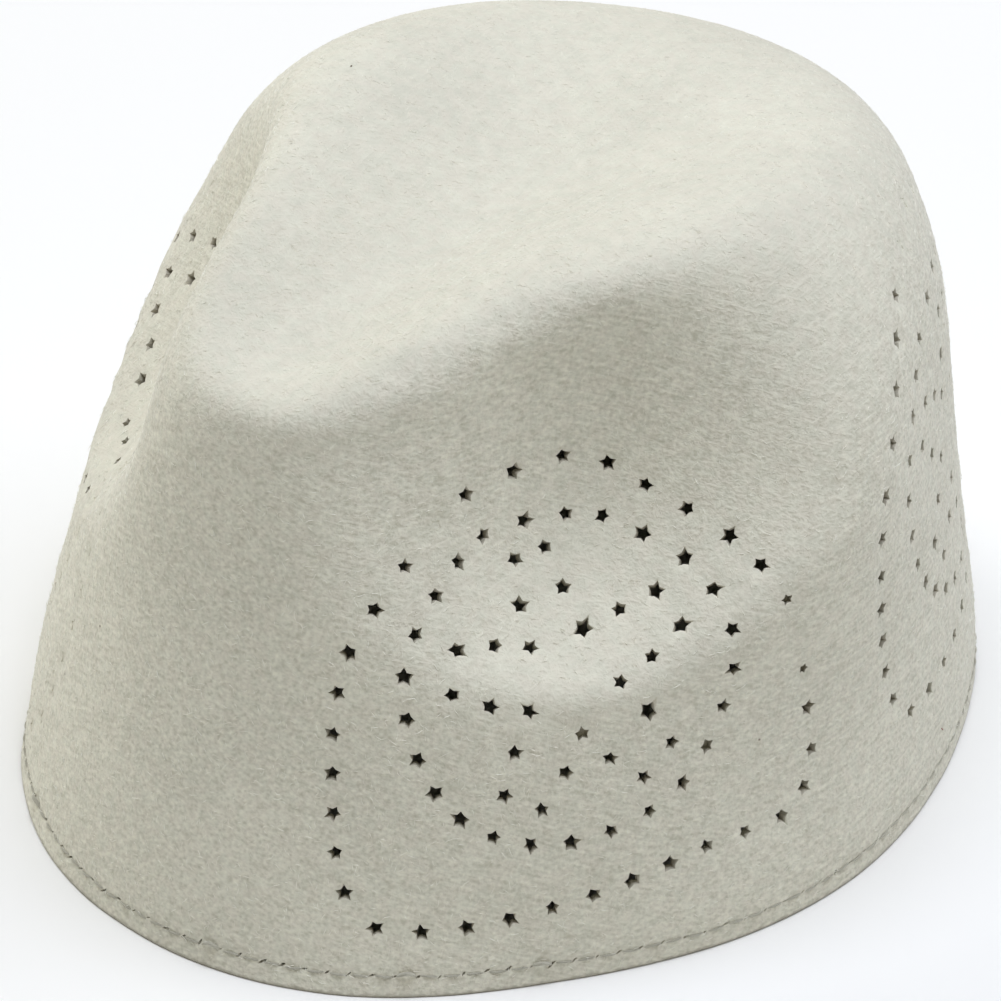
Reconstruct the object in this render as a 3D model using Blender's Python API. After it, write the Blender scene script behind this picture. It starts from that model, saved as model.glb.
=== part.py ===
"""Felt cap with a creased, pinched crown, pierced by small star-shaped holes.

One piece of blocked felt: an oval rim, a wall that leans in towards the top, a deep
pinch on each side of the front, and a shallow basin creased into the top.
Run it with: blender --background --python part.py
"""
import math

import bmesh
import bpy
import numpy as np
from mathutils import Matrix, Vector

MM = 0.001

# Driving sizes, in millimetres. The front looks along -Y and the rim stands on z = 0.
RIM_HALF_LENGTH = 100.0
RIM_HALF_WIDTH = 83.5
WALL_THICKNESS = 2.0
BASIN_CENTRE_Y = 5.0
BASIN_CENTRE_UP = 111.5

# Heights of the three lowest rings of the form, the same all round
HEM_UP = 12.0
FLANK_UP = 32.0
WAIST_UP = 52.0

# The form of the crown: one row for each section from the front (0 degrees) to the back
# (180 degrees), the other side being its mirror image. "in" is how far a ring lies inside
# the rim oval towards the basin's centre, "up" its height.
SECTION_COLUMNS = ("angle", "hem_in", "flank_in", "waist_in", "ledge_in", "ledge_up",
                   "dent_in", "dent_up", "brow_in", "brow_up", "crest_in", "crest_up",
                   "basin_in", "basin_up")
SECTIONS = (
    (0.0, 3, 10, 15, 20, 70, 24, 88, 24, 108, 40, 103, 68, 110),
    (22.5, 5, 11, 16, 18, 72, 20, 90, 28, 109, 45, 116, 72, 114),
    (45.0, 3, 8, 13, 17, 55, 42, 75, 44, 106, 47, 124, 78, 116),
    (67.5, 0, 2, 6, 11, 56, 43, 73, 47, 102, 40, 126, 73, 118),
    (90.0, 0, 1, -1, -5, 76, 0, 95, 17, 112, 34, 129, 65, 120),
    (112.5, 1, 2, 3, 8, 73, 8, 93, 14, 110, 33, 126, 60, 120),
    (135.0, 0, 3, 6, 8, 71, 10, 89, 15, 109, 28, 121, 56, 120),
    (157.5, 0, 3, 6, 9, 70, 12, 88, 15, 110, 31, 117, 56, 119),
    (180.0, 0, 3, 6, 9, 70, 12, 88, 15, 110, 33, 117, 60, 119),
)

# Where the four pierced medallions have their centres: distance along the rim from the
# front centre, towards +X, and height measured up the felt. Then the direction of the
# figure's first arm, in degrees, and whether the figure is turned left for right. Right
# and left are as seen by someone who faces the front.
MEDALLION_COLUMNS = ("name", "along_rim", "up_felt", "first_arm", "mirrored")
MEDALLIONS = (
    ("front_right", 85.0, 60.0, 104.0, False),
    ("back_right", 208.0, 63.0, 80.0, False),
    ("back_left", -222.0, 63.0, 80.0, True),
    ("front_left", -99.0, 57.0, 104.0, True),
)

# The five-armed figure in the middle of each medallion, one small star at each place:
# how far each arm is turned from the first, in degrees, and the sizes of an arm
ARM_TURNS = (0.0, 69.0, 141.0, 209.0, 279.0)
VALLEY_RADIUS = 10.4
SIDE_RADIUS = 16.6
SIDE_HALF_WIDTH = 5.6
TIP_RADIUS = 24.8
TIP_HALF_WIDTH = 4.1

# One star-shaped hole
STAR_POINTS = 5
STAR_TIP_RADIUS = 1.6
STAR_NOTCH_RADIUS = 0.9
STAR_CUT_DEPTH = 8.0

# How finely the solid is faceted
SEGMENTS_ROUND = 44
ROWS_PER_RING = 3

# Edges of the felt that turn more than this stay crisp
CRISP_EDGE_ANGLE = 40.0

# How finely the form is read: slope step in rings, samples along the rim and up the felt
SLOPE_STEP = 0.01
RIM_SAMPLES = 321
CLIMB_SAMPLES = 200

FELT_COLOUR = (0.69, 0.68, 0.60, 1.0)
FELT_ROUGHNESS = 0.95


def clear_scene():
    """Take the start-up objects out of the scene."""
    for thing in list(bpy.data.objects):
        bpy.data.objects.remove(thing, do_unlink=True)


def section_rings(section):
    """Inset and height of each ring of one section, from the hem to the basin."""
    value = dict(zip(SECTION_COLUMNS, section))
    return (
        (value["hem_in"], HEM_UP),
        (value["flank_in"], FLANK_UP),
        (value["waist_in"], WAIST_UP),
        (value["ledge_in"], value["ledge_up"]),
        (value["dent_in"], value["dent_up"]),
        (value["brow_in"], value["brow_up"]),
        (value["crest_in"], value["crest_up"]),
        (value["basin_in"], value["basin_up"]),
    )


def felt_cage():
    """Control points of the felt's outer face: columns round, rows from rim to basin."""
    columns = 2 * (len(SECTIONS) - 1)
    smoothing = (2.0 + math.cos(2.0 * math.pi / columns)) / 3.0
    centre = np.array((0.0, BASIN_CENTRE_Y))
    cage = []
    for column in range(columns):
        section = SECTIONS[min(column, columns - column)]
        turn = 2.0 * math.pi * column / columns
        rim = np.array((RIM_HALF_WIDTH * math.sin(turn), -RIM_HALF_LENGTH * math.cos(turn)))
        rim = rim / smoothing
        inward = (centre - rim) / np.linalg.norm(centre - rim)
        points = [(rim[0], rim[1], 0.0)]
        for inset, height in section_rings(section):
            place = rim + inset * inward
            points.append((place[0], place[1], height))
        cage.append(points)
    cage = np.array(cage)

    # One row below the rim keeps the wall straight there. Two rows past the basin carry
    # each section on to the one opposite, so that all of them meet in one smooth point.
    below = 2.0 * cage[:, 0] - cage[:, 1]
    across = np.roll(cage[:, -1], columns // 2, axis=0)
    middle = np.array((0.0, BASIN_CENTRE_Y, BASIN_CENTRE_UP))
    spread = 0.5 * (cage[:, -1] + across) - cage[:, -1].mean(axis=0)
    centre_row = middle - 0.5 * spread
    return np.concatenate((below[:, None], cage, centre_row[:, None], across[:, None]), axis=1)


def spline_weights(places, count, closed):
    """Cubic spline weights of each control point at each place along a row of them."""
    table = np.zeros((len(places), count))
    for row, place in enumerate(places):
        span = int(math.floor(place))
        if not closed:
            span = min(span, count - 4)
        part = place - span
        weights = (
            (1.0 - part) ** 3 / 6.0,
            (3.0 * part ** 3 - 6.0 * part ** 2 + 4.0) / 6.0,
            (-3.0 * part ** 3 + 3.0 * part ** 2 + 3.0 * part + 1.0) / 6.0,
            part ** 3 / 6.0,
        )
        for step, weight in enumerate(weights):
            index = (span + step - 1) % count if closed else span + step
            table[row, index] += weight
    return table


def felt_grid(cage, turns, climbs):
    """Points of the outer face in millimetres, at each turn (columns) and climb (rings)."""
    round_weights = spline_weights(turns, cage.shape[0], closed=True)
    climb_weights = spline_weights(climbs, cage.shape[1], closed=False)
    return np.einsum("ti,ijk,cj->tck", round_weights, cage, climb_weights)


def felt_normals(cage, turns, climbs):
    """Outward directions of the felt at the same places."""
    turns = np.asarray(turns, dtype=float)
    climbs = np.asarray(climbs, dtype=float)
    top = cage.shape[1] - 3
    ahead = np.minimum(climbs + SLOPE_STEP, top)
    behind = np.maximum(climbs - SLOPE_STEP, 0.0)
    next_turn = felt_grid(cage, turns + SLOPE_STEP, climbs)
    last_turn = felt_grid(cage, turns - SLOPE_STEP, climbs)
    next_climb = felt_grid(cage, turns, ahead)
    last_climb = felt_grid(cage, turns, behind)
    normals = np.cross(next_turn - last_turn, next_climb - last_climb)
    return normals / np.linalg.norm(normals, axis=2, keepdims=True)


def felt_shell(cage):
    """The closed felt wall: outer face, inner face and the flat edge of the rim."""
    columns = cage.shape[0]
    rings = cage.shape[1] - 3
    turns = np.arange(SEGMENTS_ROUND) * columns / SEGMENTS_ROUND
    climbs = np.arange(rings * ROWS_PER_RING) / ROWS_PER_RING
    outer = felt_grid(cage, turns, climbs)
    normals = felt_normals(cage, turns, climbs)
    normals[:, 0, 2] = 0.0
    normals[:, 0] /= np.linalg.norm(normals[:, 0], axis=1, keepdims=True)
    inner = outer - WALL_THICKNESS * normals
    outer_top = felt_grid(cage, (0.0,), (float(rings),))[0, 0]
    inner_top = outer_top - np.array((0.0, 0.0, WALL_THICKNESS))

    mesh = bmesh.new()
    walls = ((outer, outer_top, False), (inner, inner_top, True))
    rims = []
    for grid, top, turned in walls:
        circle = bmesh.ops.create_circle(mesh, segments=SEGMENTS_ROUND, radius=1.0)
        ring = circle["verts"]
        place_ring(ring, grid[:, 0])
        edges = ring_edges(ring)
        rims += edges
        made = []
        for row in range(1, grid.shape[1]):
            step = bmesh.ops.extrude_edge_only(mesh, edges=edges)
            new = step["geom"]
            made += [item for item in new if isinstance(item, bmesh.types.BMFace)]
            edges = [item for item in new if isinstance(item, bmesh.types.BMEdge)
                     and item.is_boundary]
            ring = ordered_ring(ring, new)
            place_ring(ring, grid[:, row])
        tip = mesh.verts.new(Vector(top * MM))
        for first, second in zip(ring, ring[1:] + ring[:1]):
            made.append(mesh.faces.new((first, second, tip)))
        bmesh.ops.recalc_face_normals(mesh, faces=made)
        if turned:
            bmesh.ops.reverse_faces(mesh, faces=made)
    edge_of_felt = bmesh.ops.bridge_loops(mesh, edges=rims)["faces"]
    mesh.normal_update()
    bmesh.ops.reverse_faces(mesh, faces=[face for face in edge_of_felt if face.normal.z > 0.0])
    return mesh


def ring_edges(ring):
    """Edges that join the vertices of a ring in order."""
    joined = set(ring)
    return [edge for edge in {edge for vert in ring for edge in vert.link_edges}
            if all(vert in joined for vert in edge.verts)]


def ordered_ring(ring, new):
    """The extruded copy of a ring, in the same order as the ring."""
    fresh = {item for item in new if isinstance(item, bmesh.types.BMVert)}
    return [next(edge.other_vert(vert) for edge in vert.link_edges
                 if edge.other_vert(vert) in fresh) for vert in ring]


def place_ring(ring, points):
    """Put each vertex of a ring at its point."""
    for vert, point in zip(ring, points):
        vert.co = Vector(point * MM)


def along_rim_to_turn(cage):
    """Distances along the rim from the front centre, and the turn at each of them."""
    columns = cage.shape[0]
    turns = np.linspace(-0.5 * columns, 0.5 * columns, RIM_SAMPLES)
    rim = felt_grid(cage, turns % columns, (0.0,))[:, 0]
    steps = np.linalg.norm(np.diff(rim, axis=0), axis=1)
    lengths = np.concatenate(((0.0,), np.cumsum(steps)))
    return lengths - 0.5 * lengths[-1], turns


def star_place(cage, lengths, turns, along, up):
    """Point on the felt and outward direction, at a distance along the rim and up the felt."""
    turn = float(np.interp(along, lengths, turns)) % cage.shape[0]
    climbs = np.linspace(0.0, cage.shape[1] - 3, CLIMB_SAMPLES)
    line = felt_grid(cage, (turn,), climbs)[0]
    heights = np.concatenate(((0.0,), np.cumsum(np.linalg.norm(np.diff(line, axis=0), axis=1))))
    climb = float(np.interp(up, heights, climbs))
    point = felt_grid(cage, (turn,), (climb,))[0, 0]
    normal = felt_normals(cage, (turn,), (climb,))[0, 0]
    return Vector(point * MM), Vector(normal)


def five_arm_places(first_arm):
    """Offsets, along the rim and up, of the small stars of the five-armed figure."""
    places = []
    arms = [math.radians(first_arm + turn) for turn in ARM_TURNS]
    following = arms[1:] + [arms[0] + 2.0 * math.pi]
    for middle, next_middle in zip(arms, following):
        valley = 0.5 * (middle + next_middle)
        places.append((VALLEY_RADIUS * math.cos(valley), VALLEY_RADIUS * math.sin(valley)))
        for radius, half_width in ((SIDE_RADIUS, SIDE_HALF_WIDTH), (TIP_RADIUS, TIP_HALF_WIDTH)):
            for side in (-half_width, half_width):
                across = radius * math.cos(middle) - side * math.sin(middle)
                upward = radius * math.sin(middle) + side * math.cos(middle)
                places.append((across, upward))
    return places


def star_cutters(cage):
    """One guide object that holds a star-shaped prism for every hole."""
    lengths, turns = along_rim_to_turn(cage)
    mesh = bmesh.new()
    for medallion in MEDALLIONS:
        centre = dict(zip(MEDALLION_COLUMNS, medallion))
        side = -1.0 if centre["mirrored"] else 1.0
        for across, upward in five_arm_places(centre["first_arm"]):
            point, normal = star_place(cage, lengths, turns,
                                       centre["along_rim"] + side * across,
                                       centre["up_felt"] + upward)
            add_star_prism(mesh, point, normal)
    return mesh


def add_star_prism(mesh, point, normal):
    """A five-pointed prism through the felt at a point, square to its face."""
    turned = normal.to_track_quat("Z", "Y").to_matrix().to_4x4()
    start = Matrix.Translation(point - normal * (0.5 * STAR_CUT_DEPTH * MM)) @ turned
    base = bmesh.ops.create_circle(mesh, cap_ends=True, segments=2 * STAR_POINTS,
                                   radius=STAR_TIP_RADIUS * MM)
    for index, vert in enumerate(base["verts"]):
        if index % 2:
            vert.co *= STAR_NOTCH_RADIUS / STAR_TIP_RADIUS
    floor = base["verts"][0].link_faces[0]
    side = bmesh.ops.extrude_face_region(mesh, geom=[floor], use_keep_orig=True)
    lid = [item for item in side["geom"] if isinstance(item, bmesh.types.BMVert)]
    bmesh.ops.translate(mesh, verts=lid, vec=(0.0, 0.0, STAR_CUT_DEPTH * MM))
    prism = base["verts"] + lid
    bmesh.ops.recalc_face_normals(mesh, faces=list({face for vert in prism
                                                    for face in vert.link_faces}))
    bmesh.ops.transform(mesh, matrix=start, verts=prism)


def felt_material():
    """Plain off-white felt."""
    material = bpy.data.materials.new("off_white_felt")
    material.use_nodes = True
    shader = material.node_tree.nodes["Principled BSDF"]
    shader.inputs["Base Color"].default_value = FELT_COLOUR
    shader.inputs["Roughness"].default_value = FELT_ROUGHNESS
    shader.inputs["Metallic"].default_value = 0.0
    return material


def add_object(name, mesh):
    """Turn a bmesh into an object of the scene."""
    data = bpy.data.meshes.new(name)
    mesh.to_mesh(data)
    mesh.free()
    thing = bpy.data.objects.new(name, data)
    bpy.context.scene.collection.objects.link(thing)
    return thing


def build_felt_crown():
    """The felt cap with its pierced figures."""
    cage = felt_cage()
    crown = add_object("felt_crown", felt_shell(cage))
    crown.data.materials.append(felt_material())
    crown.data.shade_smooth()
    crown.data.set_sharp_from_angle(angle=math.radians(CRISP_EDGE_ANGLE))

    holes = add_object("star_hole_guides", star_cutters(cage))
    holes.hide_render = True
    holes.display_type = "WIRE"
    cut = crown.modifiers.new("star_holes", "BOOLEAN")
    cut.operation = "DIFFERENCE"
    cut.solver = "EXACT"
    cut.object = holes
    return crown


clear_scene()
build_felt_crown()
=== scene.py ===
"""Looks of the pierced felt cap: felt, punched stars, hem stitches and loose fibres.

The file is laid out as an add-on and is run as a script. Lengths of the form are in
millimetres, as a hatter would write them, and are turned into metres for the meshes.
"""
import math

import bmesh
import bpy
import numpy as np
from mathutils import Matrix, Vector, noise
from mathutils.kdtree import KDTree


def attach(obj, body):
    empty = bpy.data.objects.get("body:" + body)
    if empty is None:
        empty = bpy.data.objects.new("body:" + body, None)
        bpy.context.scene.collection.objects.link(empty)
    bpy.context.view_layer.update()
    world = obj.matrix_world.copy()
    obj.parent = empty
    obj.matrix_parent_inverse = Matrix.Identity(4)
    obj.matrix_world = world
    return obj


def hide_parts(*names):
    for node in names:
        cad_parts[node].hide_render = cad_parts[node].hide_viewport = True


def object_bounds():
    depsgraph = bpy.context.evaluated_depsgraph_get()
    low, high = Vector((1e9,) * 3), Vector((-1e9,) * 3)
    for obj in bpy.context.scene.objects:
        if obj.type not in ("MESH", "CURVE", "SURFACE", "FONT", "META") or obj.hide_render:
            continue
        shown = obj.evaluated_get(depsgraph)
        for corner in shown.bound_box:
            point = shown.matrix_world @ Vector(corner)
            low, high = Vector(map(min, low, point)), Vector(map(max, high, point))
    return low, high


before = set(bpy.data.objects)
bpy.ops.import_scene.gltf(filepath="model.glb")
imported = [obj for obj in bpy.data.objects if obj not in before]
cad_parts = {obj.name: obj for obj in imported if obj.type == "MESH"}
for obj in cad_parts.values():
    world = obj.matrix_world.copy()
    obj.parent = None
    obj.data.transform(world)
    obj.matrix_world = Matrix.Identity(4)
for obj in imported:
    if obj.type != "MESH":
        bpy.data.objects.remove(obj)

CAD_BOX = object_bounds()

bl_info = {
    "name": "Pierced felt cap",
    "version": (1, 0, 0),
    "blender": (4, 5, 0),
    "location": "3D View > Sidebar > Felt cap",
    "description": "Builds a creased felt cap with punched stars and a stitched hem",
    "category": "Add Mesh",
}

MM = 0.001
BODY = "root"
FELT_NODE = "felt_crown"

# Form of the crown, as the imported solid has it
RIM_HALF_LENGTH = 0.5 * (CAD_BOX[1].y - CAD_BOX[0].y) / MM
RIM_HALF_WIDTH = 0.5 * (CAD_BOX[1].x - CAD_BOX[0].x) / MM
WALL_THICKNESS = 2.0
BASIN_CENTRE_Y = 5.0
BASIN_CENTRE_UP = 111.5
HEM_UP = 12.0
FLANK_UP = 32.0
WAIST_UP = 52.0

# One row for each section from the front to the back; "in" is how far a ring lies inside
# the rim oval towards the basin's centre, "up" its height
SECTION_COLUMNS = ("angle", "hem_in", "flank_in", "waist_in", "ledge_in", "ledge_up",
                   "dent_in", "dent_up", "brow_in", "brow_up", "crest_in", "crest_up",
                   "basin_in", "basin_up")
SECTIONS = (
    (0.0, 3, 10, 15, 20, 70, 24, 88, 24, 108, 40, 103, 68, 110),
    (22.5, 5, 11, 16, 18, 72, 20, 90, 28, 109, 45, 116, 72, 114),
    (45.0, 3, 8, 13, 17, 55, 42, 75, 44, 106, 47, 124, 78, 116),
    (67.5, 0, 2, 6, 11, 56, 43, 73, 47, 102, 40, 126, 73, 118),
    (90.0, 0, 1, -1, -5, 76, 0, 95, 17, 112, 34, 129, 65, 120),
    (112.5, 1, 2, 3, 8, 73, 8, 93, 14, 110, 33, 126, 60, 120),
    (135.0, 0, 3, 6, 8, 71, 10, 89, 15, 109, 28, 121, 56, 120),
    (157.5, 0, 3, 6, 9, 70, 12, 88, 15, 110, 31, 117, 56, 119),
    (180.0, 0, 3, 6, 9, 70, 12, 88, 15, 110, 33, 117, 60, 119),
)

# Where this cap has been pushed out of its even form: how far round from the front, in
# degrees, how high up the felt, how wide (degrees) and tall the place is, and how far out
PUSH_COLUMNS = ("angle", "up", "width", "height", "out")
PUSHES = (
    (49, 0, 15, 22, -1.3),
    (88, 0, 20, 22, 3.0),
    (-4, 0, 22, 20, -1.1),
    (-48, 15, 16, 14, 0.8),
    (-64, 46, 14, 12, -1.5),
    (-90, 88, 15, 14, -0.9),
    (-93, 122, 16, 12, -1.4),
    (137, 82, 18, 34, 1.5),
    (46, 64, 10, 7, 0.9),
    (60, 62, 10, 7, 1.6),
    (73, 67, 10, 7, 1.9),
    (84, 73, 10, 7, 1.2),
    (16, 110, 12, 5, 1.2),
    (31, 115, 12, 5, 1.6),
    (48, 121, 14, 5, 1.4),
    (68, 126, 16, 5, 1.1),
    (8, 134, 26, 12, -1.3),
    (92, 126, 16, 5, 0.6),
    (110, 125, 20, 9, 0.8),
)

# Slow unevenness of hand-blocked felt: size of the swellings and how far they reach
SWELLINGS = ((34.0, 0.30), (11.0, 0.10))

# The four pierced medallions: place along the rim from the front centre, place up the
# felt, direction of the first arm of the figure, whether it is the mirror image, and how
# much higher than the rest its two rings sit
MEDALLION_COLUMNS = ("name", "along_rim", "up_felt", "first_arm", "mirrored",
                     "outer_lift", "second_lift")
MEDALLIONS = (
    ("front_right", 85.0, 60.0, 104.0, False, 0.0, 0.0),
    ("back_right", 208.0, 63.0, 80.0, False, 6.0, 2.0),
    ("back_left", -222.0, 63.0, 80.0, True, 6.0, 2.0),
    ("front_left", -99.0, 57.0, 104.0, True, 0.0, 0.0),
)

# The two rings of stars round each figure: places of the stars that settle the ring's
# shape, from the medallion's centre, and how many stars on from there to the next one
RING_COLUMNS = ("across", "upward", "stars_on")
OUTER_RING = (
    (5, 41, 1), (16.5, 38, 3), (37, 20, 3), (47.5, -0.5, 3), (52, -28, 1), (49.5, -35, 1),
    (43.5, -38.5, 2), (26.5, -38.5, 3), (3.5, -43, 3), (-21, -46.5, 2), (-38.5, -46.5, 1),
    (-45, -40, 1), (-47.5, -32.5, 3), (-50, -9.5, 2), (-47.5, 6.5, 2), (-36, 22.5, 1),
    (-29.5, 29.5, 1), (-22.5, 35, 1), (-9.5, 39, 1),
)
SECOND_RING = (
    (4.5, 30.5, 1), (13.5, 29, 2), (28, 18, 2), (33.5, 3.5, 2), (31, -11, 2), (22, -24, 2),
    (7, -30.5, 2), (-9, -31, 2), (-23, -25, 2), (-32, -13.5, 2), (-35.5, 2.5, 2),
    (-29, 17, 2), (-18, 27.5, 1), (-7, 30, 1),
)
RING_SAMPLES = 24

# The five-armed figure: turn of each arm from the first, and its stars' places
ARM_TURNS = (0.0, 69.0, 141.0, 209.0, 279.0)
VALLEY_RADIUS = 10.4
SIDE_RADIUS = 16.6
SIDE_HALF_WIDTH = 5.6
TIP_RADIUS = 24.8
TIP_HALF_WIDTH = 4.1

# Stars of the photograph that differ from the rest: how large they are beside the others,
# how deep the punch went, as a part of a whole cut, and where they are in their medallion
ODD_STAR_COLUMNS = ("name", "size", "cut", "places")
PRINT = 0.09
PART = 0.36
WHOLE = 1.0
ODD_STARS = (
    ("front_right", 1.0, PRINT, ((-29.5, 29.5), (47.5, -0.5))),
    ("front_right", 0.85, PART, ((44.9, 6.8), (49.6, -9.6))),
    ("front_right", 0.95, PART, ((27.3, -18.0), (1.6, -10.3))),
    ("front_right", 1.15, WHOLE, ((28.0, 18.0), (37.0, 20.0))),
    ("front_right", 1.2, WHOLE, ((4.6, 9.3), (-35.5, 2.5))),
    ("front_right", 1.22, WHOLE, ((15.4, -8.3),)),
    ("front_left", 1.0, PRINT, (
        (-38.5, -46.5), (-45.0, -40.0), (-47.5, -32.5), (-48.6, -24.9), (-49.5, -17.2),
        (-50.0, -9.5), (-49.7, -1.3), (-47.5, 6.5), (-28.2, -19.8), (-32.0, -13.5),
        (-34.7, -5.7), (-35.5, 2.5), (-33.1, 10.1))),
    ("front_left", 0.85, PART, ((-7.8, 6.9), (-15.8, 7.6), (-25.1, -1.0), (-24.1, 7.1))),
    ("back_right", 1.0, PRINT, ((-9.5, 45.0), (5.0, 47.0), (16.5, 44.0))),
)
ODD_STAR_REACH = 2.0

# Bits of lint in the felt: how far round from the front (degrees), how high up the felt,
# length, width, direction (degrees) and whether it is reddish wool or a dark speck
LINT_COLUMNS = ("angle", "up", "length", "width", "lie", "reddish")
LINT = (
    (-23.1, 47.2, 0.45, 0.40, 0.0, False),
    (78.2, 40.2, 0.45, 0.38, 0.0, False),
    (-92.2, 137.5, 0.70, 0.30, 20.0, False),
    (111.9, 10.5, 1.60, 0.28, -48.0, True),
)

# The stitch that has come loose and stands up as a loop, in degrees round from the front
LOOSE_STITCH = 34.3

# Rows of the felt's mesh on each face, from the rim to the top: how far up the felt a
# stretch of them ends, their spacing, and how often their rings are divided
STRETCH_COLUMNS = ("end", "step", "divided")
EDGE_DIVIDED = 3
OUTER_STRETCHES = (
    (7.0, 0.62, EDGE_DIVIDED), (118.0, 1.45, 2), (152.0, 1.7, 1), (math.inf, 2.4, 0))
INNER_STRETCHES = ((7.0, 0.992, EDGE_DIVIDED), (118.0, 2.8, 1), (math.inf, 2.8, 0))
EDGE_STEPS = 3
TOP_COLUMNS = 102
TIP_GAP = 1.0
WELD = 0.002
SHARP_ANGLE = 38.0
TINY = 1e-6

# Below this height the wall's thickness lies level, so the rim's underside is flat
EDGE_LEVEL_UP = 9.0

# Groove that the stitches draw into the felt, and how deep it is on the inside beside it
GROOVE_WIDTH = 0.9
GROOVE_DEPTH = 0.14
INSIDE_GROOVE = 0.45

# Felt pressed in round a star: how wide the dip is, and where it ends
LIP_WIDTH = 2.1
LIP_REACH = 5.0

# Painted fibre highlight and shade are strongest on steep felt, where overhead light grazes: how far
# upward the felt faces where they are whole and where they are gone, kept as an attribute of the mesh
GRAZING_MASK = "grazing_mask"
GRAZING_FACING = (0.25, 0.85)

# Cutter of one star: depth below the felt's face and how wide it is there, so that the
# mouth of each hole is softly opened
STAR_POINTS = 5
STAR_LEVELS = ((-5.0, 0.90), (-0.75, 0.94), (-0.34, 1.08), (0.0, 1.36), (0.6, 1.8))

# Cutter of one needle hole: levels as above, radius, how long it is drawn and which way,
# how far above the stitches it sits and how far it strays along and up
NEEDLE_LEVELS = ((-0.95, 0.6), (-0.3, 0.95), (0.5, 1.7))
NEEDLE_RADIUS = 0.30
NEEDLE_STRETCH = 2.1
NEEDLE_LEAN = 0.6
NEEDLE_ABOVE = 0.12
NEEDLE_STRAY_ALONG = 0.16
NEEDLE_STRAY_UP = 0.12

# The stitches: sides and rings of a thread, its length beside the spacing, how deep its
# ends go, how high and how flat its arch is, and how far single stitches differ
THREAD_SIDES = 6
THREAD_STEPS = 9
STITCH_FILL = 0.94
STITCH_END = -0.62
STITCH_ARCH = 0.70
ARCH_FLATNESS = 0.6
ARCH_SPREAD = 0.125
STITCH_LEAN = 0.44
STITCH_SLACK = 0.12

# Loose stitches: how many there are beside all, and how far the thread of one stands off
# the felt, sags up along it and swells
LOOSE_PART = 0.03
LOOP_HEIGHT = 0.75
LOOP_RISE = 0.95
LOOP_SWELL = 1.7

# Loose fibres: bands that they lie in, from which climb to which, how far they lift off
# the felt and how thick they are; then how they differ and how they are scattered
FIBRE_BAND_COLUMNS = ("name", "low", "high", "lift", "half_thickness")
FIBRE_BANDS = (
    ("loose_fibres_wall", 0.12, 5.2, 0.09, 0.065),
    ("loose_fibres_top", 5.2, 8.9, 0.03, 0.045),
)
FIBRE_SHORTEST = 0.9
FIBRE_LONGEST = 2.6
FIBRE_LENGTHS = (1.6, 3.0)
FIBRE_LIFTS = (2.0, 0.5)
FIBRE_TIP_LIFTS = (0.2, 0.9)
FIBRE_THICKNESSES = (0.7, 1.3)
FIBRE_BEND = 0.55
FIBRE_TAPER = 0.7
FIBRE_ROOT_DEPTH = 0.05
STAR_CLEARANCE = 3.0
AREA_STEP = 0.05
TRIES = 4

UP = np.array((0.0, 0.0, 1.0))
SEED = 41


def named(columns, rows):
    """The rows of a table, each with the names of its columns."""
    return [dict(zip(columns, row)) for row in rows]


def length_setting(name, description, millimetres):
    """A length among the settings, with its default in millimetres."""
    return bpy.props.FloatProperty(name=name, description=description,
                                   default=millimetres * MM, unit="LENGTH", precision=5)


def colour_setting(name, description, default):
    """A colour among the settings."""
    return bpy.props.FloatVectorProperty(name=name, description=description, default=default,
                                         subtype="COLOR")


class CapSizes(bpy.types.PropertyGroup):
    """Sizes of the felt and its hem."""
    thickness: length_setting("Felt thickness", "Thickness of the wall", WALL_THICKNESS)
    edge_radius: length_setting("Edge rounding", "Rounding of the cut edge of the rim", 0.55)
    stitch_up: length_setting("Stitch height", "Height of the stitches above the cut edge", 4.1)
    stitch_count: bpy.props.IntProperty(
        name="Stitches", description="Stitches in the row round the rim", default=136)
    thread: length_setting("Thread", "Diameter of the sewing thread", 0.42)


class StarSizes(bpy.types.PropertyGroup):
    """Sizes of the punched stars."""
    tip: length_setting("Star size", "Radius of a star at its tips", 1.47)
    notch: bpy.props.FloatProperty(
        name="Notch", description="Radius between the tips, as a part of the tips' radius",
        default=0.61, subtype="FACTOR")
    lip: length_setting(
        "Pressed lip", "How far the punch has pressed the felt in round a star", 0.50)


class FeltFinish(bpy.types.PropertyGroup):
    """Colours of the felt and the thread, and how many fibres are loose."""
    light: colour_setting("Light wool", "Lighter colour of the mottled felt", (0.780, 0.764, 0.645))
    dark: colour_setting("Dark wool", "Darker colour of the mottled felt", (0.680, 0.667, 0.562))
    # The cut edge colour is painted shade along the rim's underside
    cut: colour_setting("Cut edge", "Colour of the felt where it is cut", (0.300, 0.275, 0.215))
    thread: colour_setting("Thread", "Colour of the sewing thread", (0.76, 0.735, 0.61))
    fibres: bpy.props.IntProperty(
        name="Loose fibres", description="Loose fibres on the wall, and as many on the top",
        default=11000)


def spline_weights(places, count, closed):
    """Cubic spline weights of each control point at each place along a row of them."""
    places = np.asarray(places, dtype=float)
    span = np.floor(places).astype(int)
    if not closed:
        span = np.minimum(span, count - 4)
    part = places - span
    weights = (
        (1.0 - part) ** 3 / 6.0,
        (3.0 * part ** 3 - 6.0 * part ** 2 + 4.0) / 6.0,
        (-3.0 * part ** 3 + 3.0 * part ** 2 + 3.0 * part + 1.0) / 6.0,
        part ** 3 / 6.0,
    )
    table = np.zeros((len(places), count))
    rows = np.arange(len(places))
    for step, weight in enumerate(weights):
        index = (span + step - 1) % count if closed else span + step
        table[rows, index] += weight
    return table


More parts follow.
